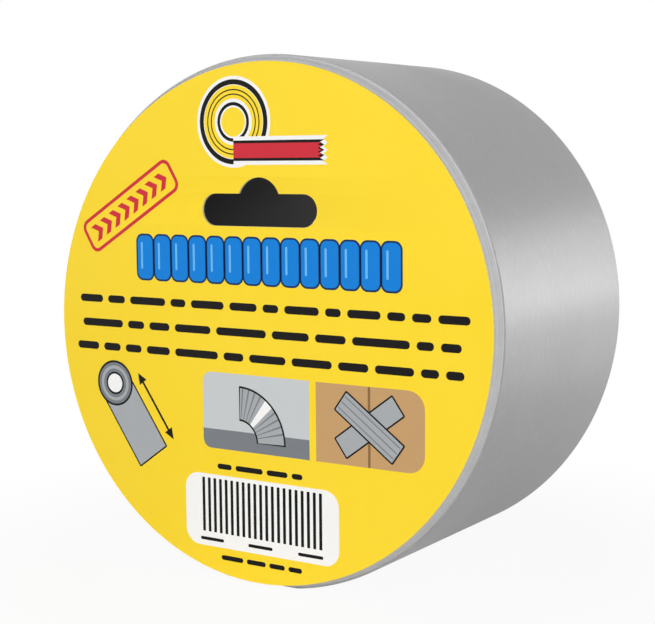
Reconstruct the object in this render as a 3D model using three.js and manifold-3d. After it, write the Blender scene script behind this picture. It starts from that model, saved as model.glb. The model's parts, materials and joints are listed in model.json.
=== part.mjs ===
// Roll of silver cloth tape, standing on its rim, with a round card label on one end.
// Units are millimetres. X runs across the label, Y along the roll's axis away from the
// label, Z up. The origin is under the middle of the roll, on the surface it stands on.

import * as THREE from 'three';
import { mergeVertices } from 'three/addons/utils/BufferGeometryUtils.js';
import Module from 'manifold-3d';

const wasm = await Module();
wasm.setup();

// Driving sizes of the roll
const boreDiameter = 55; // so small that a slanting look through the slot meets its wall
const windingDepth = 17.1; // from the foot of the wound tape out to the roll's rim
const tapeWidth = 50;
const flatDepth = 0.5; // how deep the rim is pressed flat where the roll stands
const leanShare = 0.026; // pressed out of round: how far it leans right, as a share of height

// The tape and its outermost turn
const tapeThickness = 0.3;
const turnGap = 0.45; // air between the outer turn and the turn that it lies on
const edgeSetback = 1.0; // how far the outer turn's edges lie inside the roll's ends
const shoulderRun = 0.7; // rounding of the wound tape's corners, towards the axis
const freeEndLength = 30; // the loose end, measured along the tape
const peelGap = 0.3; // slit across the tape at the root of the loose end
const startGap = 0.3; // between the start of the outer turn and the step that it butts on
const windingStep = 0.4; // length along the rim over which the step rises

// The core
const innerPlyThickness = 0.6;
const coreWall = 2.2;
const coreSetback = 0.4; // the core's ends lie a little inside the tape's
const seamWidth = 0.45; // open joint between the edges of the inner ply
const seamLead = 112; // distance along the axis in which the seam goes once round
const pieceGap = 0.3; // between pieces that lie against each other

// The label
const cardInset = 1.05; // from the roll's rim to the card's edge
const cardThickness = 0.5;
const glueThickness = 0.2;
const glueMargin = 0.4; // bare tape on both sides of the ring of glue

// The slot that the roll hangs by, centred on the label
const slotWidth = 25;
const slotHeight = 5.8;
const slotRise = 20.9; // from the label's centre up to the middle of the slot
const slotCrownRadius = 4.7; // the round crown that centres the slot on a hook
const slotCrownRise = 2.9; // how far the crown reaches above the slot's upper edge

// Numbers of facets
const turnSteps = 120;
const coreSteps = 96;
const shoulderSteps = 4;
const freeEndSteps = 12;
const seamSteps = 36;
const slotEndSteps = 10;
const slotCrownSteps = 12;

// Places round the roll, seen from the label's side, anticlockwise from the right
const degree = Math.PI / 180;
const fullTurn = 2 * Math.PI;
const windingStart = 155 * degree;
const restAngle = 270 * degree;
const seamAngle = 200 * degree; // where the seam of the inner ply meets the label's end

const cutOverrun = 1; // how far a cutting body runs past what it cuts
const boreRadius = boreDiameter / 2;
const tubeInside = boreRadius + innerPlyThickness + pieceGap;
const windingFoot = tubeInside + coreWall + pieceGap;
const rollRadius = windingFoot + windingDepth;
const cardRadius = rollRadius - cardInset;
const turnPitch = tapeThickness + turnGap;

// Radius of the outer turn's upper face. The tape climbs one pitch in each full turn,
// and has the roll's own radius halfway round.
function tapeRadius(turn) {
  return rollRadius + turnPitch * (turn / fullTurn - 0.5);
}

const axisHeight = tapeRadius(restAngle - windingStart) - flatDepth;

// Distance from the axis of a point that lies the given depth under the tape's upper face.
// Near the surface that the roll stands on, every layer is pressed flat.
function layerRadius(turn, depth) {
  const fromRest = windingStart + turn - restAngle;
  const round = tapeRadius(turn) - depth;
  const nearRest = Math.cos(fromRest);
  return nearRest > 0 ? Math.min(round, (axisHeight - depth) / nearRest) : round;
}

// A place seen from the label's side, moved as the roll leans
function leaned({ x, y }) {
  return new THREE.Vector2(x + leanShare * y, y);
}

// A point of the roll, from its angle round the axis, its radius and its place along Y
function rollPoint(angle, radius, y) {
  const place = leaned({ x: radius * Math.cos(angle), y: radius * Math.sin(angle) });
  return new THREE.Vector3(place.x, y, place.y);
}

function countedList(count, make) {
  return Array.from({ length: count }, (_, index) => make(index));
}

// A closed body from rings of points. The last ring joins the first where the body goes
// right round, and otherwise both ends are closed by flat faces.
function bodyFromRings(rings, goesRound) {
  const size = rings[0].length;
  const faces = [];
  const spans = goesRound ? rings.length : rings.length - 1;
  for (let ring = 0; ring < spans; ring++) {
    const here = ring * size;
    const next = ((ring + 1) % rings.length) * size;
    for (let point = 0; point < size; point++) {
      const after = (point + 1) % size;
      faces.push(here + point, next + point, next + after);
      faces.push(here + point, next + after, here + after);
    }
  }
  if (!goesRound) {
    const last = (rings.length - 1) * size;
    for (let point = 1; point < size - 1; point++) {
      faces.push(0, point, point + 1);
      faces.push(last, last + point + 1, last + point);
    }
  }
  const geometry = new THREE.BufferGeometry().setFromPoints(rings.flat());
  geometry.setIndex(faces);
  return geometry;
}

function solidFrom(geometry) {
  const merged = mergeVertices(geometry);
  return new wasm.Manifold(new wasm.Mesh({
    numProp: 3,
    vertProperties: new Float32Array(merged.attributes.position.array),
    triVerts: new Uint32Array(merged.index.array),
  }));
}

function geometryFrom(solid) {
  const mesh = solid.getMesh();
  const geometry = new THREE.BufferGeometry();
  geometry.setAttribute('position', new THREE.BufferAttribute(mesh.vertProperties, 3));
  geometry.setIndex(new THREE.BufferAttribute(mesh.triVerts, 1));
  return geometry;
}

// A stretch of tape, one section for each step along it
function tapeStretch(fromTurn, toTurn, steps) {
  const front = edgeSetback;
  const back = tapeWidth - edgeSetback;
  return bodyFromRings(countedList(steps + 1, (step) => {
    const turn = THREE.MathUtils.lerp(fromTurn, toTurn, step / steps);
    const angle = windingStart + turn;
    const upper = layerRadius(turn, 0);
    const under = layerRadius(turn, tapeThickness);
    return [
      rollPoint(angle, under, front),
      rollPoint(angle, under, back),
      rollPoint(angle, upper, back),
      rollPoint(angle, upper, front),
    ];
  }), false);
}

// The outermost turn, one unbroken length of tape. It starts against the step of the
// winding under it, climbs one pitch, and ends at the root of the loose end.
function outerTurnGeometry() {
  const start = startGap / rollRadius;
  return tapeStretch(start, fullTurn - peelGap / 2 / rollRadius, turnSteps);
}

// The loose end lies over the start of the outer turn, and peels up at its root
function freeEndGeometry() {
  const root = fullTurn + peelGap / 2 / rollRadius;
  return tapeStretch(root, root + freeEndLength / rollRadius, freeEndSteps);
}

// The wound tape under the outer turn, with rounded corners. Its rim is the upper face of
// the turn before the last, so it climbs in the same way and falls back in one low step.
function tapeWindingGeometry() {
  const section = (turn) => {
    const rim = layerRadius(turn, turnPitch);
    const corner = countedList(shoulderSteps + 1, (step) => {
      const swing = (step / shoulderSteps) * (Math.PI / 2);
      return {
        radius: rim - shoulderRun * (1 - Math.cos(swing)),
        inset: edgeSetback * (1 - Math.sin(swing)),
      };
    });
    const back = corner.map(({ radius, inset }) => ({ radius, y: tapeWidth - inset }));
    const front = corner.map(({ radius, inset }) => ({ radius, y: inset }));
    const foot = [{ radius: windingFoot, y: 0 }, { radius: windingFoot, y: tapeWidth }];
    return [...foot, ...back.reverse(), ...front];
  };
  const lastTurn = fullTurn - windingStep / rollRadius;
  return bodyFromRings(countedList(turnSteps + 1, (step) => {
    const turn = lastTurn * (step / turnSteps);
    return section(turn).map(({ radius, y }) => rollPoint(windingStart + turn, radius, y));
  }), true);
}

// A plain ring round the axis
function ringGeometry(innerRadius, thickness, front, back, steps) {
  return bodyFromRings(countedList(steps, (step) => {
    const angle = fullTurn * (step / steps);
    return [
      rollPoint(angle, innerRadius, front),
      rollPoint(angle, innerRadius, back),
      rollPoint(angle, innerRadius + thickness, back),
      rollPoint(angle, innerRadius + thickness, front),
    ];
  }), true);
}

// Paperboard tube, between the inner ply and the tape
function coreTubeGeometry() {
  return ringGeometry(tubeInside, coreWall, coreSetback, tapeWidth - coreSetback, coreSteps);
}

// The innermost ply of the core: one strip of paper wound on a slant, whose two edges meet
// at an open seam that winds through the bore
function innerPlyGeometry() {
  const front = coreSetback;
  const back = tapeWidth - coreSetback;
  const paper = ringGeometry(boreRadius, innerPlyThickness, front, back, coreSteps);
  const halfSeam = seamWidth / 2 / boreRadius;
  const cutFrom = boreRadius - cutOverrun;
  const cutTo = boreRadius + innerPlyThickness + cutOverrun;
  const seam = bodyFromRings(countedList(seamSteps + 1, (step) => {
    const y = THREE.MathUtils.lerp(front - cutOverrun, back + cutOverrun, step / seamSteps);
    const angle = seamAngle + fullTurn * (y / seamLead);
    return [
      rollPoint(angle - halfSeam, cutFrom, y),
      rollPoint(angle - halfSeam, cutTo, y),
      rollPoint(angle + halfSeam, cutTo, y),
      rollPoint(angle + halfSeam, cutFrom, y),
    ];
  }), false);
  return geometryFrom(solidFrom(paper).subtract(solidFrom(seam)));
}

function arcPoints(x, z, radius, from, to, steps) {
  return countedList(steps + 1, (step) => {
    const angle = THREE.MathUtils.lerp(from, to, step / steps);
    return new THREE.Vector2(x + radius * Math.cos(angle), z + radius * Math.sin(angle));
  });
}

// Outline of the hang slot: a bar with round ends and a round crown in the middle
function slotOutline() {
  const quarter = Math.PI / 2;
  const endRadius = slotHeight / 2;
  const endX = slotWidth / 2 - endRadius;
  const crownDrop = slotCrownRadius - slotCrownRise;
  const crownZ = slotRise + endRadius - crownDrop;
  const foot = Math.asin(crownDrop / slotCrownRadius);
  return [
    ...arcPoints(endX, slotRise, endRadius, -quarter, quarter, slotEndSteps),
    ...arcPoints(0, crownZ, slotCrownRadius, foot, Math.PI - foot, slotCrownSteps),
    ...arcPoints(-endX, slotRise, endRadius, quarter, 3 * quarter, slotEndSteps),
  ];
}

// Round card label with its hang slot. It lies on the ring of glue.
function labelCardGeometry() {
  const rim = arcPoints(0, 0, cardRadius, 0, fullTurn, turnSteps).slice(0, turnSteps);
  const outline = new THREE.Shape(rim.map(leaned));
  outline.holes.push(new THREE.Path(slotOutline().map(leaned)));
  const card = new THREE.ExtrudeGeometry(outline, { depth: cardThickness, bevelEnabled: false });
  card.rotateX(Math.PI / 2);
  card.translate(0, -pieceGap - glueThickness, 0);
  return card;
}

// Ring of glue on the back of the card, where it meets the wound tape
function labelGlueGeometry() {
  const inner = windingFoot + glueMargin;
  const outer = rollRadius - turnPitch - shoulderRun - glueMargin;
  return ringGeometry(inner, outer - inner, -pieceGap - glueThickness, -pieceGap, coreSteps);
}

const silverTape = { color: '#b9babc', roughness: 0.42, metalness: 0.25 };
const sidewallTape = { color: '#a9aaab', roughness: 0.6, metalness: 0.1 };
const greyBoard = { color: '#a48f73', roughness: 0.9, metalness: 0 };
const darkPaper = { color: '#2f2c2d', roughness: 0.85, metalness: 0 };
const yellowCard = { color: '#fddd3c', roughness: 0.5, metalness: 0 };
const clearGlue = { color: '#e6dfc4', roughness: 0.25, metalness: 0 };

function part(name, geometry, finish) {
  const mesh = new THREE.Mesh(geometry, new THREE.MeshStandardMaterial(finish));
  mesh.name = name;
  return mesh;
}

// The pieces are shaped round the axis, with Y counted from the tape's front end. The
// groups lift them onto the surface and set them level with the middle of the roll.
const wound = new THREE.Group();
wound.add(
  part('core_inner_ply', innerPlyGeometry(), darkPaper),
  part('core_tube', coreTubeGeometry(), greyBoard),
  part('tape_winding', tapeWindingGeometry(), sidewallTape),
  part('outer_turn', outerTurnGeometry(), silverTape),
  part('tape_free_end', freeEndGeometry(), silverTape),
);

const label = new THREE.Group();
label.add(
  part('label_glue', labelGlueGeometry(), clearGlue),
  part('label_card', labelCardGeometry(), yellowCard),
);

const labelStack = pieceGap + glueThickness + cardThickness;
const roll = new THREE.Group();
roll.add(wound, label);
roll.position.set(0, (labelStack - tapeWidth) / 2, axisHeight);

// Least distance between the tape's turns: the loose end over the start of the outer turn
function leastTurnGap() {
  const reach = freeEndLength / rollRadius;
  const gaps = countedList(freeEndSteps + 1, (step) => {
    const turn = reach * (step / freeEndSteps);
    return layerRadius(fullTurn + turn, tapeThickness) - layerRadius(turn, 0);
  });
  return Math.min(...gaps);
}
console.log(`least gap between turns of tape: ${leastTurnGap().toFixed(3)} mm`);

export default roll;
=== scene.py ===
"""A roll of silver cloth tape with a round yellow card label, dressed over its CAD frame.

Lengths are in metres, in the frame's own axes: X across the label, Y along the roll's axis
away from the label, Z up. Angles round the roll are seen from the label's side, and run
anticlockwise from the right.
"""

import json
import math
import random

import bmesh
import bpy
from mathutils import Euler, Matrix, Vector


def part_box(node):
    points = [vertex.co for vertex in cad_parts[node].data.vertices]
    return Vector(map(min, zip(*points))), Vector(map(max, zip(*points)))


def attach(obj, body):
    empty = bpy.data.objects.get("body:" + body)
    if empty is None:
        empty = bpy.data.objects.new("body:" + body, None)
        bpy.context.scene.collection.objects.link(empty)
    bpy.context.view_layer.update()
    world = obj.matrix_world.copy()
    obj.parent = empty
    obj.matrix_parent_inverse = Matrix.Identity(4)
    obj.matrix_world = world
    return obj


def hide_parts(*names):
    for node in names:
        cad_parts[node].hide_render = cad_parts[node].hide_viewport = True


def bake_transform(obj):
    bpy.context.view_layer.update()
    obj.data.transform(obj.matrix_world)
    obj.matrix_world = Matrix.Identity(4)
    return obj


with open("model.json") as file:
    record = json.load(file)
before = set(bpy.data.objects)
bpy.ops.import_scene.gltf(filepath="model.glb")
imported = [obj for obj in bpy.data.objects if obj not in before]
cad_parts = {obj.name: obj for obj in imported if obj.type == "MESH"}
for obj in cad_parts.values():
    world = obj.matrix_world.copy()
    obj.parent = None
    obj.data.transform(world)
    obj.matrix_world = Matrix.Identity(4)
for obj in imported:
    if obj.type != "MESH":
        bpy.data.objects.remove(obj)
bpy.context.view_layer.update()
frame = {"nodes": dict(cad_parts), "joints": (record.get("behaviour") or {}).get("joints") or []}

MM = 0.001
TAU = math.tau


# Sizes taken from the frame

card_low, card_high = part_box("label_card")
winding_low, winding_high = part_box("tape_winding")
turn_low, turn_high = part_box("outer_turn")
tube_low, tube_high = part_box("core_tube")
ply_low, ply_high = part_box("core_inner_ply")
glue_low, glue_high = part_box("label_glue")
hinge = next(Vector(j["pos_m"]) for j in frame["joints"] if j["name"] == "free_end_peel")

AXIS_HEIGHT = (tube_low.z + tube_high.z) / 2
ROLL_RADIUS = turn_high.x
CARD_RADIUS = card_high.x
CARD_THICKNESS = card_high.y - card_low.y
PLY_THICKNESS = 0.6 * MM
PLY_RADIUS = ply_high.x
BORE_RADIUS = PLY_RADIUS - PLY_THICKNESS
LEAN = 0.026  # the roll is pressed out of round, and leans right by this share of its height
WINDING_START = math.atan2(hinge.z - AXIS_HEIGHT, hinge.x - LEAN * (hinge.z - AXIS_HEIGHT))
REST_ANGLE = math.radians(-90)

# Sizes of what the dressed pieces add

SNUG = 0.02 * MM  # air between faces that lie on each other
LAYER = 0.45 * MM  # one visible turn of tape; the real one is about 0.2 mm, too fine to show
TAPE_THICKNESS = 0.28 * MM
TAPE_ROUNDING = 0.12 * MM
TURN_STEPS = 480  # faces in one turn of the tape, and round the wound tape under it
WINDING_FOOT = tube_high.x + 0.25 * MM  # inside the air that the CAD leaves round the core
SHOULDER_RUN = 0.95 * MM  # how far in from the rim the wound tape's ends slope back
SHOULDER_CURVE = 1.25  # 1 is a straight slope, and more is hollow
RIDGE_HEIGHT = 0.05 * MM  # how far the turns' edges stand out of the roll's ends
FRONT_FACE = glue_high.y + SNUG  # the end of the wound tape, behind the ring of glue
RIM_RISE = glue_high.y - glue_low.y - SNUG  # its rim swells forward to the card's back
RISE_FROM, RISE_TO = glue_high.x + 0.1 * MM, glue_high.x + 0.4 * MM  # just outside the glue
BACK_FACE = winding_high.y
FREE_END_LENGTH = 30 * MM
TIP_LIFT = 0.35 * MM  # how far the loose end's tip stands off at rest
CARD_ROUNDING = 0.05 * MM
SLANT_LEAD = 112 * MM  # distance along the axis in which the liner's seam goes once round
SEAM_ANGLE = math.radians(200)  # where the seam meets the label's end
HALF_SEAM = 0.25 * MM
SEAM_CURL = 0.12 * MM  # how far the liner's edges stand off the tube
CURL_REACH = 3 * MM
BOARD_ROUNDING = 0.15 * MM  # what sawing leaves on the core's corners


# Materials

COLOUR_A, COLOUR_B, MIXED_COLOUR = 6, 7, 2  # the sockets of a Mix node that carry colours


def linear(hex_colour):
    """An sRGB hex value as linear red, green, blue and alpha."""
    levels = [int(hex_colour[i:i + 2], 16) / 255 for i in (1, 3, 5)]
    return (*[c / 12.92 if c <= 0.04045 else ((c + 0.055) / 1.055) ** 2.4 for c in levels], 1.0)


def add(tree, kind, inputs=None, **settings):
    """A node with its settings, its inputs filled by values or by other nodes' sockets."""
    made = tree.nodes.new(kind)
    for name, value in settings.items():
        setattr(made, name, value)
    for key, value in (inputs or {}).items():
        if isinstance(value, bpy.types.NodeSocket):
            tree.links.new(value, made.inputs[key])
        else:
            made.inputs[key].default_value = value
    return made


def surface(name, colour, roughness, **principled):
    """A material with one shader. Returns the material, its tree and the shader."""
    material = bpy.data.materials.new(name)
    material.use_nodes = True
    tree = material.node_tree
    tree.nodes.clear()
    inputs = {"Base Color": linear(colour), "Roughness": roughness, **principled}
    shader = add(tree, "ShaderNodeBsdfPrincipled", inputs)
    add(tree, "ShaderNodeOutputMaterial", {"Surface": shader.outputs["BSDF"]})
    return material, tree, shader


def finish_surface(tree, shader, ground=None, tints=(), rough=None, relief=None):
    """Links a shader to its patterns.

    Each tint is laid over the ground and the tints before it: from one level of its pattern to
    another, up to a share. rough is a pattern with the roughness at its levels 0 and 1, and
    relief a pattern with its real depth and its strength."""
    colour = ground and linear(ground)
    for pattern, start, end, share, tint in tints:
        laid = add(tree, "ShaderNodeMapRange", {
            "Value": pattern, "From Min": start, "From Max": end, "To Max": share})
        mixed = add(tree, "ShaderNodeMix", {
            "Factor": laid.outputs[0], COLOUR_A: colour, COLOUR_B: linear(tint)}, data_type="RGBA")
        colour = mixed.outputs[MIXED_COLOUR]
    if tints:
        tree.links.new(colour, shader.inputs["Base Color"])
    if rough:
        pattern, low, high = rough
        spread = add(tree, "ShaderNodeMapRange", {"Value": pattern, "To Min": low, "To Max": high})
        tree.links.new(spread.outputs[0], shader.inputs["Roughness"])
    if relief:
        height, depth, strength = relief
        bump = add(tree, "ShaderNodeBump",
                   {"Height": height, "Distance": depth, "Strength": strength})
        tree.links.new(bump.outputs[0], shader.inputs["Normal"])


def grain(tree, place, size, detail, roughness=0.5):
    """Irregular grain with cells of the given real size, one value or one for each direction."""
    sizes = size if hasattr(size, "__len__") else (size, size, size)
    scale = tuple(1 / s for s in sizes)
    spread = add(tree, "ShaderNodeMapping", {"Vector": place, "Scale": scale})
    inputs = {"Vector": spread.outputs[0], "Scale": 1.0, "Detail": detail, "Roughness": roughness}
    return add(tree, "ShaderNodeTexNoise", inputs).outputs["Fac"]


def distance_from_axis(tree, place):
    """A place's distance from the roll's axis, measured in the leaning outline."""
    parts = add(tree, "ShaderNodeSeparateXYZ", {0: place}).outputs
    up = add(tree, "ShaderNodeMath", {0: parts["Z"], 1: AXIS_HEIGHT}, operation="SUBTRACT")
    across = add(tree, "ShaderNodeMath",
                 {0: up.outputs[0], 1: -LEAN, 2: parts["X"]}, operation="MULTIPLY_ADD")
    flat = add(tree, "ShaderNodeCombineXYZ", {"X": across.outputs[0], "Y": up.outputs[0]})
    away = add(tree, "ShaderNodeVectorMath", {0: flat.outputs[0]}, operation="LENGTH")
    return away.outputs["Value"]


def silver_film():
    """Polyethylene film with aluminium pigment, rolled over cotton gauze.

    It gives a satin grey with a broad sheen. The gauze's warp shows as faint streaks along
    the tape, and its weft as a fainter rib across it."""
    material, tree, shader = surface(
        "silver_polyethylene_film", "#9f9fa0", 0.4, Metallic=0.3, IOR=1.5, Anisotropic=0.35)
    along = add(tree, "ShaderNodeUVMap", uv_map="tape").outputs["UV"]
    warp = grain(tree, along, (2.6 * MM, 0.3 * MM, MM), 3.0, 0.6)
    weft = grain(tree, along, (0.5 * MM, 6 * MM, MM), 2.0)
    cloud = grain(tree, along, (26 * MM, 14 * MM, MM), 3.0)
    worn = grain(tree, along, (9 * MM, 5 * MM, MM), 4.0, 0.65)
    weft_share = 0.4
    weave = add(tree, "ShaderNodeMath", {0: weft, 1: weft_share, 2: warp}, operation="MULTIPLY_ADD")
    finish_surface(tree, shader, "#9d9d9e", [
        (cloud, 0.3, 0.7, 1.0, "#a1a1a2"),
        (warp, 0.5, 0.75, 0.6, "#b6b6b7"),
    ], rough=(worn, 0.385, 0.425), relief=(weave.outputs[0], 0.02 * MM, 0.7))
    return material


def tape_edges():
    """The cut edges of many turns: grey film over white cloth and rubber glue, slit dry.

    The outermost turn's edge is painted pale near the rim: a painted highlight along the corner
    that catches the light."""
    material, tree, shader = surface("slit_tape_edges", "#c3c3c5", 0.6, IOR=1.5)
    place = add(tree, "ShaderNodeTexCoord").outputs["Object"]
    patches = grain(tree, place, 3.5 * MM, 4.0, 0.6)
    fuzz = grain(tree, place, 0.35 * MM, 2.0)
    out = distance_from_axis(tree, place)
    finish_surface(tree, shader, "#bfbfc2", [
        (patches, 0.35, 0.65, 1.0, "#c7c7c9"),
        (fuzz, 0.55, 0.8, 0.5, "#d4d4d6"),
        # painted highlight: the outermost turn's edge, pale near the rim
        (out, ROLL_RADIUS - 0.4 * MM, ROLL_RADIUS - 0.2 * MM, 1.0, "#efefef"),
    ], relief=(fuzz, 0.05 * MM, 0.6))
    return material


def edge_creases():
    """The hollow between two turns at the roll's ends, coloured a little darker than the turns'
    edges.
    """
    material, tree, shader = surface("creases_between_turns", "#b6b5ba", 0.65, IOR=1.5)
    place = add(tree, "ShaderNodeTexCoord").outputs["Object"]
    patches = grain(tree, place, 5 * MM, 3.0)
    finish_surface(tree, shader, "#aeadb3", [(patches, 0.0, 1.0, 1.0, "#bebdc2")])
    return material


def yellow_print():
    """Offset print on coated card: a flat, even yellow with the card's faint satin grain."""
    material, tree, shader = surface(
        "yellow_printed_card", "#fddb2f", 0.5, IOR=1.46, **{"Specular IOR Level": 0.3})
    place = add(tree, "ShaderNodeTexCoord").outputs["Object"]
    fibre = grain(tree, place, (0.9 * MM, MM, 0.35 * MM), 3.0, 0.6)
    cloud = grain(tree, place, 22 * MM, 2.0)
    finish_surface(tree, shader, "#fdda2b", [(cloud, 0.3, 0.7, 1.0, "#fedc33")],
                   rough=(cloud, 0.44, 0.52), relief=(fibre, 0.006 * MM, 0.5))
    return material


def card_fibre(name, pale, dark):
    """Bare card, cut or unprinted: matt, with short fibres."""
    material, tree, shader = surface(name, pale, 0.9, IOR=1.4)
    place = add(tree, "ShaderNodeTexCoord").outputs["Object"]
    fibre = grain(tree, place, (1.4 * MM, 0.3 * MM, 0.4 * MM), 4.0, 0.7)
    finish_surface(tree, shader, pale, [(fibre, 0.35, 0.7, 1.0, dark)],
                   relief=(fibre, 0.03 * MM, 0.6))
    return material


def liner_paper_painted_shade():
    """The core's innermost ply, liner paper painted charcoal as shade for the dark inside of the
    core: calendered, matt, with long fibres.
    """
    # painted shade: the charcoal colour stands in for the shade inside the core
    material, tree, shader = surface("charcoal_liner_painted_shade", "#2f2c2e", 0.8, IOR=1.4)
    place = add(tree, "ShaderNodeTexCoord").outputs["Object"]
    fibre = grain(tree, place, (2.4 * MM, 0.5 * MM, 1.2 * MM), 4.0, 0.7)
    cloud = grain(tree, place, 12 * MM, 3.0)
    finish_surface(tree, shader, "#2f2c2e", [
        (cloud, 0.0, 1.0, 1.0, "#322f30"),
        (fibre, 0.6, 0.85, 0.4, "#57504c"),
    ], relief=(fibre, 0.02 * MM, 0.5))
    return material


def grey_paperboard():
    """Recycled tube board, seen on its sawn ends: concentric plies with fuzzy edges."""
    material, tree, shader = surface("sawn_paperboard", "#9b8a72", 0.92, IOR=1.4)
    place = add(tree, "ShaderNodeTexCoord").outputs["Object"]
    half_ply = 0.45 * MM
    plies = add(tree, "ShaderNodeMath",
                {0: distance_from_axis(tree, place), 1: half_ply}, operation="PINGPONG")
    fuzz = grain(tree, place, 0.5 * MM, 4.0, 0.7)
    finish_surface(tree, shader, "#8b7a62", [
        (fuzz, 0.0, 1.0, 1.0, "#b5a58b"),
        (plies.outputs[0], half_ply / 4, 0.0, 1.0, "#6b5c49"),
    ], relief=(fuzz, 0.1 * MM, 0.7))
    return material


def printed_ink(name, colour):
    """Offset ink on the coated card, with the same satin as the yellow round it."""
    material, tree, shader = surface(name, colour, 0.5, IOR=1.46, **{"Specular IOR Level": 0.15})
    place = add(tree, "ShaderNodeTexCoord").outputs["Object"]
    fibre = grain(tree, place, (0.9 * MM, MM, 0.35 * MM), 3.0, 0.6)
    finish_surface(tree, shader, rough=(fibre, 0.44, 0.52), relief=(fibre, 0.006 * MM, 0.5))
    return material


def contact_glue():
    """A film of hot glue on the card's back: honey-clear, smooth and tacky."""
    material, tree, shader = surface(
        "hot_glue_film", "#dccfa0", 0.22, IOR=1.5, **{"Subsurface Weight": 0.15})
    place = add(tree, "ShaderNodeTexCoord").outputs["Object"]
    lumps = grain(tree, place, 1.6 * MM, 3.0)
    finish_surface(tree, shader, "#cfc08c", [(lumps, 0.0, 1.0, 1.0, "#e8ddb8")],
                   relief=(lumps, 0.1 * MM, 0.7))
    return material


FILM = silver_film()
EDGES = tape_edges()
CREASES = edge_creases()
YELLOW = yellow_print()
CARD_EDGE = card_fibre("cut_card_edge", "#efe6bd", "#d8cb98")
CARD_BACK = card_fibre("grey_card_back", "#b9b4a8", "#a29c8f")
LINER_PAINTED_SHADE = liner_paper_painted_shade()
BOARD = grey_paperboard()
HOT_GLUE = contact_glue()
INKS = {
    "black": printed_ink("black_ink", "#0d0b0b"),
    "blue": printed_ink("blue_ink", "#1481da"),
    "pale_blue": printed_ink("pale_blue_ink", "#6cbcf4"),
    "navy": printed_ink("navy_ink", "#14305c"),
    "red": printed_ink("red_ink", "#cf3340"),
    "white": printed_ink("white_ink", "#f7f7f7"),
    "silver": printed_ink("silver_ink", "#a9adb1"),
    "grey": printed_ink("grey_ink", "#7b8086"),
    "mist": printed_ink("mist_ink", "#c9cdd0"),
    "tan": printed_ink("tan_ink", "#c79f6f"),
    "brown": printed_ink("brown_ink", "#8d6a45"),
}


# Shared ways to make a mesh

def to_object(name, mesh, materials, sharp_degrees=35):
    """A piece from a mesh, its faces turned outwards and its shading smooth over low angles.
    The materials fill its slots in order, and its faces keep the slots they have."""
    work = bmesh.new()
    work.from_mesh(mesh)
    bmesh.ops.recalc_face_normals(work, faces=work.faces)
    work.to_mesh(mesh)
    work.free()
    mesh.materials.clear()
    for material in materials:
        mesh.materials.append(material)
    mesh.shade_smooth()
    mesh.set_sharp_from_angle(angle=math.radians(sharp_degrees))
    made = bpy.data.objects.new(name, mesh)
    bpy.context.scene.collection.objects.link(made)
    return made


def swept_mesh(name, rows, goes_round, uv=None):
    """A mesh from rows of points, each a closed section. It goes right round, or its first and
    last row get a face across them."""
    wide = len(rows[0])
    faces = []
    for row in range(len(rows) if goes_round else len(rows) - 1):
        for column in range(wide):
            after, below = (column + 1) % wide, (row + 1) % len(rows)
            faces.append((row * wide + column, below * wide + column,
                          below * wide + after, row * wide + after))
    if not goes_round:
        last = (len(rows) - 1) * wide
        faces.append(tuple(range(wide)))
        faces.append(tuple(last + column for column in reversed(range(wide))))
    mesh = bpy.data.meshes.new(name)
    mesh.from_pydata([point for row in rows for point in row], [], faces)
    if uv:
        places = [place for row in uv for place in row]
        layer = mesh.uv_layers.new(name="tape")
        for loop in mesh.loops:
            layer.data[loop.index].uv = places[loop.vertex_index]
    return mesh


def evaluated_mesh(source):
    """A plain mesh of an object with its modifiers applied; the object goes."""
    bpy.context.view_layer.update()
    graph = bpy.context.evaluated_depsgraph_get()
    mesh = bpy.data.meshes.new_from_object(source.evaluated_get(graph))
    bpy.data.objects.remove(source)
    return mesh


def welded(mesh):
    """Joins the points of a mesh that lie on each other, which closes it."""
    work = bmesh.new()
    work.from_mesh(mesh)
    bmesh.ops.remove_doubles(work, verts=work.verts, dist=0.001 * MM)
    work.to_mesh(mesh)
    work.free()
    return mesh


# The roll's form

def around(angle, radius, y):
    """A point from its angle round the roll, its radius and its place along the axis."""
    up = radius * math.sin(angle)
    return Vector((radius * math.cos(angle) + LEAN * up, y, AXIS_HEIGHT + up))


def tape_radius(turn):
    """Radius of the outer turn's upper face. It climbs one layer in a full turn."""
    return ROLL_RADIUS + LAYER * (turn / TAU - 0.5)


def pressed(angle, radius, depth):
    """A radius at that depth in the tape, pressed flat near the surface that the roll stands
    on. The dent fades out towards the core."""
    towards_rest = math.cos(angle - REST_ANGLE)
    if towards_rest <= 0:
        return radius
    dent = max(0.0, radius + depth - AXIS_HEIGHT / towards_rest)
    return radius - dent * max(0.0, 1 - depth / (ROLL_RADIUS - WINDING_FOOT))


def tape_section(across):
    """The tape's cross-section as places along Y and depths under its upper face.

    It runs over the upper face from the label's side, round the far edge, and back under.
    The faces next to the rounded corners are narrow, so that the wide ones shade flat."""
    corner, corner_steps = [], 3
    for step in range(corner_steps + 1):
        swing = step / corner_steps * math.pi / 2
        corner.append((TAPE_ROUNDING * (1 - math.sin(swing)),
                       TAPE_ROUNDING * (1 - math.cos(swing))))
    front, back = turn_low.y, turn_high.y
    narrow = 2 * TAPE_ROUNDING
    width = back - front - 2 * narrow
    flat = [front + narrow + width * step / across for step in range(across + 1)]
    upper = [(front + inset, depth) for inset, depth in reversed(corner)]
    upper += [(y, 0.0) for y in flat]
    upper += [(back - inset, depth) for inset, depth in corner]
    under = [(back, TAPE_THICKNESS)]
    under += [(y, TAPE_THICKNESS) for y in reversed(flat)]
    under += [(front, TAPE_THICKNESS)]
    return upper + under


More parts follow.
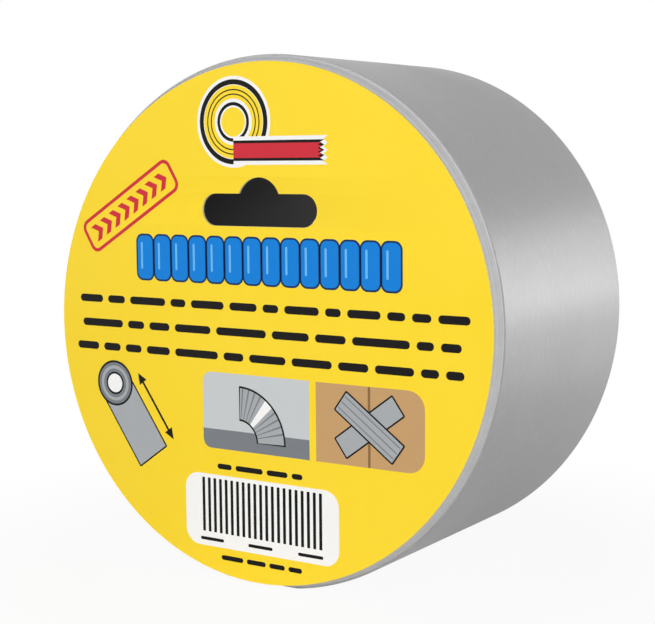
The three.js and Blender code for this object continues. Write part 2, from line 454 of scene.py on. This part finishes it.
def stretch_of_tape(name, from_turn, to_turn, steps, across, lift=None):
    """A length of tape that follows the winding, with its length and width as its UV map."""
    places = tape_section(across)
    rows, uv = [], []
    for step in range(steps + 1):
        turn = from_turn + (to_turn - from_turn) * step / steps
        angle = WINDING_START + turn
        rise = lift(turn) if lift else 0.0
        row = []
        for y, depth in places:
            radius = tape_radius(turn) - depth
            row.append(around(angle, pressed(angle, radius, depth) + rise, y))
        rows.append(row)
        uv.append([(turn * ROLL_RADIUS, y) for y, _ in places])
    mesh = swept_mesh(name, rows, False, uv)
    return to_object(name, mesh, [FILM], sharp_degrees=50)


def make_outer_turn():
    """The outermost turn of tape, from the step under the loose end right round to its root."""
    piece = stretch_of_tape("outer_tape", 0.0, TAU, steps=TURN_STEPS, across=4)
    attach(piece, "roll")
    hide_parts("outer_turn")


def make_free_end():
    """The loose end of the tape. Its last quarter lifts a little off the turn under it, most at the
    tip.
    """
    reach = FREE_END_LENGTH / ROLL_RADIUS
    lifted_from = TAU + reach * 0.75  # only the last quarter stands off

    def lift(turn):
        share = max(0.0, (turn - lifted_from) / (TAU + reach - lifted_from))
        return TIP_LIFT * share ** 2

    piece = stretch_of_tape("loose_tape_end", TAU, TAU + reach, steps=75, across=24, lift=lift)
    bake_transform(piece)
    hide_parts("tape_free_end")


# The wound tape under the outer turn

def winding_rim(angle):
    """Outer radius of the wound tape. It climbs with the turns and steps back at the start."""
    turn = (angle - WINDING_START) % TAU
    return tape_radius(turn) - TAPE_THICKNESS - SNUG


def end_face(radius, depth, front):
    """Place along Y of the wound tape's end, at that depth under the rim. The outermost
    turns lie back in steps, and at the label's end the rim swells up to the card."""
    if front:
        rise = min(1.0, max(0.0, (radius - RISE_FROM) / (RISE_TO - RISE_FROM)))
        eased = rise ** 2 * (3 - 2 * rise)
        face, tape_edge = FRONT_FACE - RIM_RISE * eased, turn_low.y
    else:
        face, tape_edge = BACK_FACE, turn_high.y
    share = min(1.0, max(0.0, 1 - depth / SHOULDER_RUN))
    return face + (tape_edge - face) * share ** SHOULDER_CURVE


def end_point(angle, radius, out, front):
    """A point on an end of the winding, or that far out of its face."""
    depth = winding_rim(angle) - radius
    y = end_face(radius, depth, front) + (-out if front else out)
    return around(angle, pressed(angle, radius, depth + TAPE_THICKNESS), y)


def make_winding():
    """The body of wound tape: a ring with rounded corners, under the turns' own edges."""
    rows, shoulder_steps = [], 10
    for step in range(TURN_STEPS):
        angle = WINDING_START + TAU * step / TURN_STEPS
        rim = winding_rim(angle) - SNUG
        radii = [WINDING_FOOT, RISE_FROM, (RISE_FROM + RISE_TO) / 2, RISE_TO]
        radii += [rim - SHOULDER_RUN * (1 - down / shoulder_steps)
                  for down in range(shoulder_steps + 1)]
        front = [end_point(angle, radius, -RIDGE_HEIGHT, True) for radius in radii]
        back = [end_point(angle, radius, -RIDGE_HEIGHT, False) for radius in radii]
        rows.append(front + back[::-1])
    piece = to_object("wound_tape", swept_mesh("wound_tape", rows, True), [CREASES])
    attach(piece, "roll")
    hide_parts("tape_winding")


def modifier_tree(name, sockets):
    """A Geometry Nodes tree that makes its own geometry, with named inputs for its sizes."""
    tree = bpy.data.node_groups.new(name, "GeometryNodeTree")
    tree.interface.new_socket("Geometry", in_out="OUTPUT", socket_type="NodeSocketGeometry")
    for label, kind in sockets.items():
        tree.interface.new_socket(label, in_out="INPUT", socket_type="NodeSocket" + kind)
    return tree, add(tree, "NodeGroupInput").outputs


def run_tree(tree, made, values):
    """Ends a tree, runs it with these values and returns the mesh that it makes."""
    real = add(tree, "GeometryNodeRealizeInstances", {"Geometry": made})
    finished = add(tree, "GeometryNodeSetMaterial", {"Geometry": real.outputs[0]})
    tree.links.new(tree.nodes["Group Input"].outputs["Finish"], finished.inputs["Material"])
    add(tree, "NodeGroupOutput", {"Geometry": finished.outputs[0]})
    holder = bpy.data.objects.new(tree.name, bpy.data.meshes.new(tree.name))
    bpy.context.scene.collection.objects.link(holder)
    modifier = holder.modifiers.new(tree.name, "NODES")
    modifier.node_group = tree
    for socket in tree.interface.items_tree:
        if socket.in_out == "INPUT":
            modifier[socket.identifier] = values[socket.name]
    return evaluated_mesh(holder)


def wound_edges_mesh():
    """One ridge that winds from the core to the rim: the edge of the tape, turn on turn."""
    tree, given = modifier_tree("wound_edges", {
        "Turns": "Float", "Foot Radius": "Float", "Rim Radius": "Float",
        "Ridge": "Vector", "Steps": "Int", "Finish": "Material"})
    spiral = add(tree, "GeometryNodeCurveSpiral", {
        "Resolution": given["Steps"], "Rotations": given["Turns"],
        "Start Radius": given["Foot Radius"], "End Radius": given["Rim Radius"], "Height": 0.0})
    upright = add(tree, "GeometryNodeSetCurveNormal", {"Curve": spiral.outputs[0]}, mode="Z_UP")
    rounding = add(tree, "GeometryNodeCurvePrimitiveCircle", {"Resolution": 8, "Radius": 1.0})
    ridge = add(tree, "GeometryNodeTransform",
                {"Geometry": rounding.outputs[0], "Scale": given["Ridge"]})
    swept = add(tree, "GeometryNodeCurveToMesh", {
        "Curve": upright.outputs[0], "Profile Curve": ridge.outputs[0], "Fill Caps": True})
    rim = tape_radius(TAU) - TAPE_THICKNESS - LAYER / 2
    turns = math.floor((rim - WINDING_FOOT) / LAYER)
    half_width = LAYER * 0.48  # a narrow crease stays between two turns
    return run_tree(tree, swept.outputs[0], {
        "Turns": turns, "Foot Radius": rim - turns * LAYER, "Rim Radius": rim,
        "Ridge": (half_width, RIDGE_HEIGHT, 1.0), "Steps": 180, "Finish": EDGES})


def make_wound_edges():
    """The edges of the turns at both ends of the roll."""
    source = wound_edges_mesh()
    for front, name in ((True, "turn_edges_front"), (False, "turn_edges_back")):
        mesh = source.copy()
        for vertex in mesh.vertices:
            x, up, out = vertex.co
            # The spiral widens clockwise, and the tape's turns the other way.
            angle = WINDING_START - math.atan2(up, x)
            vertex.co = end_point(angle, math.hypot(x, up), out - RIDGE_HEIGHT, front)
        piece = to_object(name, mesh, [EDGES], sharp_degrees=60)
        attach(piece, "roll")


# The core

def make_core_board():
    """The paperboard tube, from its dark inner ply out to the foot of the wound tape."""
    soft, corner_steps, steps_round = BOARD_ROUNDING, 3, 288
    inner, outer = PLY_RADIUS + SNUG + soft, WINDING_FOOT - SNUG - soft
    front, back = tube_low.y + soft, tube_high.y - soft
    section = []
    for radius, y, turn_from in ((inner, front, 180), (outer, front, 270),
                                 (outer, back, 0), (inner, back, 90)):
        for step in range(corner_steps + 1):
            swing = math.radians(turn_from + 90 * step / corner_steps)
            section.append((radius + soft * math.cos(swing), y + soft * math.sin(swing)))
    rows = [[around(TAU * step / steps_round, radius, y) for radius, y in section]
            for step in range(steps_round)]
    piece = to_object("core_board", swept_mesh("core_board", rows, True), [BOARD])
    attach(piece, "roll")
    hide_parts("core_tube")


def make_inner_ply():
    """The core's innermost ply, a strip wound on a slant with an open seam. Its dark colour is
    painted shade.
    """
    half_seam = HALF_SEAM / BORE_RADIUS
    rows = []
    around_steps, along_steps = 300, 60
    for along in range(along_steps + 1):
        y = ply_low.y + (ply_high.y - ply_low.y) * along / along_steps
        start = SEAM_ANGLE + TAU * (y - winding_low.y) / SLANT_LEAD + half_seam
        inside, outside = [], []
        for step in range(around_steps + 1):
            share = step / around_steps
            angle = start + (TAU - 2 * half_seam) * share
            from_seam = min(share, 1 - share) * TAU * BORE_RADIUS
            lifted = SEAM_CURL * max(0.0, 1 - from_seam / CURL_REACH) ** 2
            inside.append(around(angle, BORE_RADIUS - lifted, y))
            outside.append(around(angle, PLY_RADIUS, y))
        rows.append(inside + outside[::-1])
    wide = len(rows[0])
    mesh = swept_mesh("core_liner", rows, False)
    work = bmesh.new()
    work.from_mesh(mesh)
    work.verts.ensure_lookup_table()
    # A single face across each end would be a thin curved band, so small ones take its place.
    caps = [face for face in work.faces if len(face.verts) == wide]
    bmesh.ops.delete(work, geom=caps, context="FACES_ONLY")
    for first in (0, along_steps * wide):
        for step in range(around_steps):
            inside_corner, outside_corner = first + step, first + wide - 1 - step
            ring = (inside_corner, inside_corner + 1, outside_corner - 1, outside_corner)
            work.faces.new([work.verts[index] for index in ring])
    work.to_mesh(mesh)
    work.free()
    piece = to_object("core_liner", mesh, [LINER_PAINTED_SHADE], sharp_degrees=40)
    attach(piece, "roll")
    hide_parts("core_inner_ply")


# The label. Its outlines are in millimetres from its centre, x to the right and z up.

SLOT_RISE = 20.9
SLOT_WIDTH = 25.0
SLOT_HEIGHT = 5.8
CROWN_RADIUS = 4.7
CROWN_RISE = 2.9  # how far the crown reaches above the slot's upper edge
INK_THICKNESS = 0.012 * MM  # one layer of print, thick enough to lie clear of the card
printed = {ink: [] for ink in INKS}


def arc(x, z, radius, from_degrees, to_degrees, steps):
    """Points on an arc in the label's plane."""
    angles = [math.radians(from_degrees + (to_degrees - from_degrees) * step / steps)
              for step in range(steps + 1)]
    return [(x + radius * math.cos(angle), z + radius * math.sin(angle)) for angle in angles]


def circle(x, z, radius, steps=64):
    """Points on a full circle in the label's plane."""
    return arc(x, z, radius, 0, 360, steps)[:-1]


def rounded_box(x, z, width, height, rounding, tilt=0.0):
    """Outline of a box with rounded corners, from the right upper one round anticlockwise.

    rounding is one radius, or one for each corner; a corner with none stays sharp."""
    radii = rounding if hasattr(rounding, "__len__") else (rounding,) * 4
    points = []
    for index, (side, level) in enumerate(((1, 1), (-1, 1), (-1, -1), (1, -1))):
        radius = radii[index]
        corner_x, corner_z = side * (width / 2 - radius), level * (height / 2 - radius)
        if radius:
            points += arc(corner_x, corner_z, radius, 90 * index, 90 * index + 90, 6)
        else:
            points.append((corner_x, corner_z))
    return turned(points, x, z, tilt)


def turned(points, x, z, tilt):
    """Points turned by an angle in degrees and moved to a place."""
    c, s = math.cos(math.radians(tilt)), math.sin(math.radians(tilt))
    return [(x + c * px - s * pz, z + s * px + c * pz) for px, pz in points]


def sheet_mesh(outlines, thickness, rounding=0.0):
    """A thin sheet in the label's plane from outlines in millimetres; inner ones are holes."""
    curve = bpy.data.curves.new("outline", "CURVE")
    curve.dimensions, curve.fill_mode = "2D", "BOTH"
    curve.extrude = thickness / 2 - rounding
    curve.bevel_depth, curve.bevel_resolution, curve.offset = rounding, 2, -rounding
    for outline in outlines:
        spline = curve.splines.new("POLY")
        spline.points.add(len(outline) - 1)
        for point, (x, z) in zip(spline.points, outline):
            point.co = (x * MM, z * MM, 0.0, 1.0)
        spline.use_cyclic_u = True
    holder = bpy.data.objects.new("outline", curve)
    bpy.context.scene.collection.objects.link(holder)
    mesh = evaluated_mesh(holder)
    bpy.data.curves.remove(curve)
    return welded(mesh)


def stand_up(mesh, y):
    """Sets a sheet made in the label's plane upright, its middle at that place along Y."""
    for vertex in mesh.vertices:
        x, up, out = vertex.co
        vertex.co = (x, y - out, AXIS_HEIGHT + up)


def slot_outline():
    """The hang slot: a bar with round ends and a round crown."""
    end = SLOT_HEIGHT / 2
    drop = CROWN_RADIUS - CROWN_RISE
    foot = math.degrees(math.asin(drop / CROWN_RADIUS))
    side = SLOT_WIDTH / 2 - end
    return (arc(side, SLOT_RISE, end, -90, 90, 16)
            + arc(0, SLOT_RISE + end - drop, CROWN_RADIUS, foot, 180 - foot, 24)
            + arc(-side, SLOT_RISE, end, 90, 270, 16))


def make_label_board():
    """The card: printed yellow in front, bare grey behind, with a pale cut edge."""
    outlines = [[(x + LEAN * z, z) for x, z in outline]
                for outline in (circle(0, 0, CARD_RADIUS / MM, steps=288), slot_outline())]
    mesh = sheet_mesh(outlines, CARD_THICKNESS, CARD_ROUNDING)
    stand_up(mesh, (card_low.y + card_high.y) / 2)
    piece = to_object("label_board", mesh, [YELLOW, CARD_EDGE, CARD_BACK], sharp_degrees=30)
    flat_from = 0.8  # a face that points less along the axis is part of the cut edge
    for polygon in piece.data.polygons:
        facing = polygon.normal.y
        polygon.material_index = 0 if facing < -flat_from else 2 if facing > flat_from else 1
    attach(piece, "label")
    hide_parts("label_card")


def stamp(ink, layer, *outlines):
    """Prints one shape on the card. A shape on a higher layer lies over the lower ones."""
    mesh = sheet_mesh(outlines, INK_THICKNESS)
    stand_up(mesh, card_low.y - INK_THICKNESS * (layer - 0.5))
    printed[ink].append(mesh)


def stamp_row(ink, layer, count, pitch, place, size, rounding):
    """Prints a row of equal rounded bars: bars instanced along a line of points, a pitch apart.
    size is a bar's width and height."""
    tree, given = modifier_tree("row_of_bars", {
        "Count": "Int", "Pitch": "Vector", "Start": "Vector", "Width": "Float",
        "Height": "Float", "Rounding": "Float", "Depth": "Vector", "Finish": "Material"})
    bar = add(tree, "GeometryNodeCurvePrimitiveQuadrilateral",
              {"Width": given["Width"], "Height": given["Height"]})
    soft = add(tree, "GeometryNodeFilletCurve",
               {"Curve": bar.outputs[0], "Radius": given["Rounding"], "Limit Radius": True,
                "Count": 6}, mode="POLY")
    face = add(tree, "GeometryNodeFillCurve", {"Curve": soft.outputs[0]}, mode="NGONS")
    thick = add(tree, "GeometryNodeExtrudeMesh",
                {"Mesh": face.outputs[0], "Offset": given["Depth"], "Offset Scale": 1.0,
                 "Individual": False}, mode="FACES")
    back = add(tree, "GeometryNodeFlipFaces", {"Mesh": face.outputs[0]})
    closed = add(tree, "GeometryNodeJoinGeometry")
    tree.links.new(thick.outputs["Mesh"], closed.inputs[0])
    tree.links.new(back.outputs[0], closed.inputs[0])
    line = add(tree, "GeometryNodeMeshLine", {
        "Count": given["Count"], "Start Location": given["Start"], "Offset": given["Pitch"]},
        mode="OFFSET")
    row = add(tree, "GeometryNodeInstanceOnPoints",
              {"Points": line.outputs[0], "Instance": closed.outputs[0]})
    mesh = run_tree(tree, row.outputs[0], {
        "Count": count, "Pitch": (pitch * MM, 0, 0),
        "Start": ((place[0] - pitch * (count - 1) / 2) * MM, place[1] * MM, 0),
        "Width": size[0] * MM, "Height": size[1] * MM, "Rounding": rounding * MM,
        "Depth": (0, 0, INK_THICKNESS), "Finish": INKS[ink]})
    welded(mesh)
    stand_up(mesh, card_low.y - INK_THICKNESS * (layer - 1))
    printed[ink].append(mesh)


def stamp_roll_sign():
    """A roll of tape seen from the side in black lines, its red end drawn out to the right."""
    x, z = -4.7, 36.5
    tail_length, tail_height, teeth, tooth_depth = 19.4, 3.6, 4, 0.9

    def tail(grow, radius):
        low = z - radius - grow
        high = low + tail_height + 2 * grow
        right = x + tail_length + grow
        edge = []
        for tooth in range(2 * teeth + 1):
            level = low + (high - low) * tooth / (2 * teeth)
            edge.append((right - (tooth_depth if tooth % 2 else 0.0), level))
        return [(x, high), (x, low), *edge]

    stamp("white", 1, circle(x, z, 8.1), circle(x, z, 6.5))
    stamp("white", 1, circle(x, z, 4.1), circle(x, z, 2.6))
    stamp("black", 2, circle(x, z, 7.5), circle(x, z, 6.6))
    stamp("black", 2, circle(x, z, 3.5), circle(x, z, 2.9))
    for ring in (5.8, 5.0):
        stamp("black", 2, circle(x, z, ring), circle(x, z, ring - 0.22))
    stamp("white", 3, tail(0.7, 6.9))
    stamp("black", 4, tail(0.0, 6.9))
    stamp("red", 5, tail(-0.5, 6.9))


def stamp_slanted_frame():
    """A slanted red frame with a row of chevrons."""
    x, z, tilt = -29.3, 21.2, 31.3
    stamp("red", 1, rounded_box(x, z, 25.0, 6.7, 1.7, tilt),
          rounded_box(x, z, 23.7, 5.4, 1.1, tilt))
    chevron = [(-1.3, 1.6), (0.0, 1.6), (1.3, 0), (0.0, -1.6), (-1.3, -1.6), (0.0, 0)]
    count, pitch = 8, 2.65
    for index in range(count):
        along = (index - (count - 1) / 2) * pitch
        stamp("red", 1, turned([(px + along, pz) for px, pz in chevron], x, z, tilt))


def stamp_hose():
    """A blue corrugated hose right across the card, with a dark outline."""
    x, z, count, pitch = 1.1, 11.8, 14, 4.13
    stamp_row("navy", 1, count, pitch, (x, z), (4.3, 8.8), 1.5)
    stamp_row("blue", 2, count, pitch, (x, z), (3.6, 8.1), 1.2)
    stamp_row("pale_blue", 3, count, pitch, (x - 0.8, z + 0.3), (0.45, 5.0), 0.22)


def stamp_rules():
    """Three rows of plain short rules, and two finer rows lower down."""
    chance = random.Random(7)
    rows = [(3.5, -42.3, 42.8, 1.45), (-1.15, -41.8, 41.2, 1.45), (-5.7, -43.3, 44.7, 1.45),
            (-26.2, -9.5, 9.4, 1.0), (-43.3, -8.9, 9.1, 0.9)]
    shortest, longest, space = 2, 8, 0.9  # all as shares of a rule's height
    for z, left, right, height in rows:
        x = left
        while x < right - shortest * height:
            length = min(chance.uniform(shortest, longest) * height, right - x)
            if right - x - length < shortest * height:
                length = right - x
            stamp("black", 1, rounded_box(x + length / 2, z, length, height, height / 2))
            x += length + space * height


def stamp_strip_sign():
    """A broad strip of tape that hangs from a small roll, with a double arrow along it."""
    x, z, tilt = -34.0, -12.7, 35.0
    strip_x, strip_z, arrow_x, arrow_z = x + 4.3, z - 6.3, x + 10.0, z - 3.6
    stamp("black", 1, rounded_box(strip_x, strip_z, 8.2, 17.4, 0.3, tilt))
    stamp("silver", 2, rounded_box(strip_x, strip_z, 7.6, 16.8, 0.1, tilt))
    stamp("black", 3, circle(x, z, 4.4))
    stamp("grey", 4, circle(x, z, 4.0), circle(x, z, 2.2))
    stamp("silver", 5, circle(x, z, 3.4), circle(x, z, 2.8))
    stamp("white", 4, circle(x, z, 1.8))
    stamp("black", 1, rounded_box(arrow_x, arrow_z, 0.45, 10.5, 0.2, tilt))
    for end, way in ((5.2, tilt), (-5.2, tilt + 180)):
        tip_x, tip_z = turned([(0, end)], arrow_x, arrow_z, tilt)[0]
        stamp("black", 1, turned([(-1.0, 0), (1.0, 0), (0, 2.1)], tip_x, tip_z, way))


def stamp_pipe_picture():
    """Left picture: a plain grey pipe elbow with a band of tape, on a pale wall."""
    x, z, width, height = -0.8, -15.8, 23.6, 14.1
    stamp("mist", 1, rounded_box(x, z, width, height, (0, 1.9, 1.9, 0)))
    stamp("grey", 2, rounded_box(x, z - 5.3, width, 3.6, (0, 0, 1.75, 0)))
    bend_x, bend_z, outer, inner, outline = x - 3.5, z - 5.3, 10.2, 3.8, 0.35

    def sector(from_degrees, to_degrees, trim, steps=16):
        """A stretch of the elbow, that much narrower on both sides."""
        return (arc(bend_x, bend_z, outer - trim, from_degrees, to_degrees, steps)
                + arc(bend_x, bend_z, inner + trim, to_degrees, from_degrees, steps))

    stamp("black", 3, sector(0, 90, 0.0))
    stamp("silver", 4, sector(1.5, 88.5, outline))
    for degrees in (12, 20, 28, 36, 60, 68, 76, 84):
        stamp("grey", 5, sector(degrees, degrees + 2.0, outline, 2))
    stamp("white", 5, sector(43, 54, outline, 4))


def stamp_patch_picture():
    """Right picture: two strips of tape crossed over a seam, on a tan board."""
    x, z, width, height = 23.35, -15.85, 21.9, 14.1
    stamp("tan", 1, rounded_box(x, z, width, height, (3.2, 0, 0, 3.2)))
    stamp("brown", 2, rounded_box(x, z, 0.5, height, 0.2))
    for tilt, layer in ((36, 3), (-36, 5)):
        stamp("black", layer, rounded_box(x, z, 14.6, 4.4, 0.3, tilt))
        stamp("silver", layer + 1, rounded_box(x, z, 14.0, 3.8, 0.1, tilt))
    for shift in (-1.2, 0.0, 1.2):
        stamp("grey", 7, turned(rounded_box(0, shift, 13.6, 0.22, 0.1), x, z, -36))


def stamp_bar_panel():
    """A white panel with a plain row of even bars."""
    x, z = 0.0, -34.7
    stamp("white", 1, rounded_box(x, z, 34.1, 13.65, 3.0))
    stamp_row("black", 2, 21, 1.3, (x + 0.2, z + 1.0), (0.62, 10.2), 0.1)
    stamp_row("black", 2, 3, 11.0, (x, z - 5.5), (5.4, 0.6), 0.3)


def make_print():
    """All that is printed on the card, one piece for each ink."""
    stamp_roll_sign()
    stamp_slanted_frame()
    stamp_hose()
    stamp_rules()
    stamp_strip_sign()
    stamp_pipe_picture()
    stamp_patch_picture()
    stamp_bar_panel()
    for ink, meshes in printed.items():
        work = bmesh.new()
        for mesh in meshes:
            work.from_mesh(mesh)
        joined = bpy.data.meshes.new("print_" + ink)
        work.to_mesh(joined)
        work.free()
        piece = to_object("print_" + ink, joined, [INKS[ink]], sharp_degrees=30)
        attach(piece, "label")


def finish_label_glue():
    """The ring of glue keeps the CAD's shape, and gets its finish."""
    node = frame["nodes"]["label_glue"]
    node.data.materials.clear()
    node.data.materials.append(HOT_GLUE)


# Floor, light and camera

def make_floor():
    """A pale floor. What the camera sees of it is nearly white. A glossy face sees it white
    too, but with its own shade close under the roll. The rest of the light meets plain paper."""
    mesh = bpy.data.meshes.new("floor")
    half = 4.0  # metres
    corners = [(-half, -half, 0), (half, -half, 0), (half, half, 0), (-half, half, 0)]
    mesh.from_pydata(corners, [], [(0, 1, 2, 3)])
    floor = bpy.data.objects.new("floor", mesh)
    bpy.context.scene.collection.objects.link(floor)
    material = bpy.data.materials.new("white_floor")
    material.use_nodes = True
    tree = material.node_tree
    tree.nodes.clear()
    paper = add(tree, "ShaderNodeBsdfDiffuse", {"Color": linear("#f4f4f4")})
    glow = add(tree, "ShaderNodeEmission", {"Color": linear("#ffffff"), "Strength": 1.0})
    place = add(tree, "ShaderNodeTexCoord").outputs["Object"]
    away = add(tree, "ShaderNodeVectorMath", {0: place}, operation="LENGTH").outputs["Value"]
    seen_white, mirrored_white = [
        add(tree, "ShaderNodeMapRange", {
            "Value": away, "From Min": near, "From Max": far, "To Min": near_share}).outputs[0]
        for near_share, near, far in ((0.93, 0.05, 0.11), (0.48, 0.03, 0.1))]
    glossy = add(tree, "ShaderNodeLightPath").outputs["Is Glossy Ray"]
    whiteness = add(tree, "ShaderNodeMix",
                    {"Factor": glossy, 2: seen_white, 3: mirrored_white}).outputs[0]
    seen = add(tree, "ShaderNodeMixShader",
               {"Fac": whiteness, 1: paper.outputs[0], 2: glow.outputs[0]})
    split = add(tree, "ShaderNodeMixShader",
                {"Fac": mirrored_or_seen(tree), 1: paper.outputs[0], 2: seen.outputs[0]})
    add(tree, "ShaderNodeOutputMaterial", {"Surface": split.outputs[0]})
    mesh.materials.append(material)


def mirrored_or_seen(tree):
    """One where a ray comes from the camera, from a glossy face or through glass."""
    path = add(tree, "ShaderNodeLightPath").outputs
    first = add(tree, "ShaderNodeMath",
                {0: path["Is Camera Ray"], 1: path["Is Glossy Ray"]}, operation="MAXIMUM")
    both = add(tree, "ShaderNodeMath",
               {0: first.outputs[0], 1: path["Is Transmission Ray"]}, operation="MAXIMUM")
    return both.outputs[0]


def make_world(strength):
    """The studio's walls: white to the camera and to glossy faces, and dim as a light."""
    world = bpy.data.worlds.new("studio")
    bpy.context.scene.world = world
    world.use_nodes = True
    tree = world.node_tree
    tree.nodes.clear()
    level = add(tree, "ShaderNodeMapRange", {"Value": mirrored_or_seen(tree), "To Min": strength})
    sky = add(tree, "ShaderNodeBackground",
              {"Color": linear("#ffffff"), "Strength": level.outputs[0]})
    add(tree, "ShaderNodeOutputWorld", {"Surface": sky.outputs[0]})


def make_lamp(name, place, aim, size, power, mirrored=True):
    """A soft rectangular lamp, aimed at a point, its power in watts. One that isn't mirrored is
    diffused so far that glossy faces show no picture of it."""
    lamp = bpy.data.lights.new(name, "AREA")
    lamp.shape, lamp.size, lamp.size_y, lamp.energy = "RECTANGLE", size[0], size[1], power
    holder = bpy.data.objects.new(name, lamp)
    holder.location = place
    direction = Vector(aim) - Vector(place)
    holder.rotation_euler = direction.to_track_quat("-Z", "Y").to_euler()
    holder.visible_glossy = mirrored
    bpy.context.scene.collection.objects.link(holder)


def make_camera():
    """The photograph's view: from the right of the label and a little above the roll. The lens
    and the place are what fits the roll's outlines best."""
    camera = bpy.data.cameras.new("camera")
    camera.sensor_width = 36.0
    camera.lens = 79.7
    camera.clip_start, camera.clip_end = 0.01, 20
    holder = bpy.data.objects.new("camera", camera)
    holder.location = (0.15206, -0.23313, 0.07797)
    holder.rotation_euler = Euler([math.radians(a) for a in (83.8, 0.5, 33.37)])
    bpy.context.scene.collection.objects.link(holder)
    bpy.context.scene.camera = holder


def make_studio():
    """The floor, a dim world, and lamps in front of the label and behind the roll's right side."""
    middle = (0, 0, AXIS_HEIGHT)
    make_floor()
    make_world(strength=0.05)
    make_lamp("front_lamp", (-0.55, -1.25, 0.7), middle, (2.5, 1.8), 13.3)
    make_lamp("side_lamp", (1.3, -1.8, 0.48), middle, (1.7, 1.0), 32.5, mirrored=False)
    make_lamp("flank_lamp", (1.02, 1.1, 0.08), middle, (0.9, 0.9), 8.3)
    make_lamp("flank_strip", (0.52, 0.535, 0.035), (0, 0, 0.035), (0.6, 0.07), 0.36)
    make_lamp("card_on_floor", (0.26, 0.26, 0.002), (0.26, 0.26, 1.0), (0.36, 0.36), 0.28)


make_camera()
make_outer_turn()
make_free_end()
make_winding()
make_wound_edges()
make_core_board()
make_inner_ply()
make_label_board()
make_print()
finish_label_glue()
make_studio()

bpy.context.scene.view_settings.view_transform = "Standard"
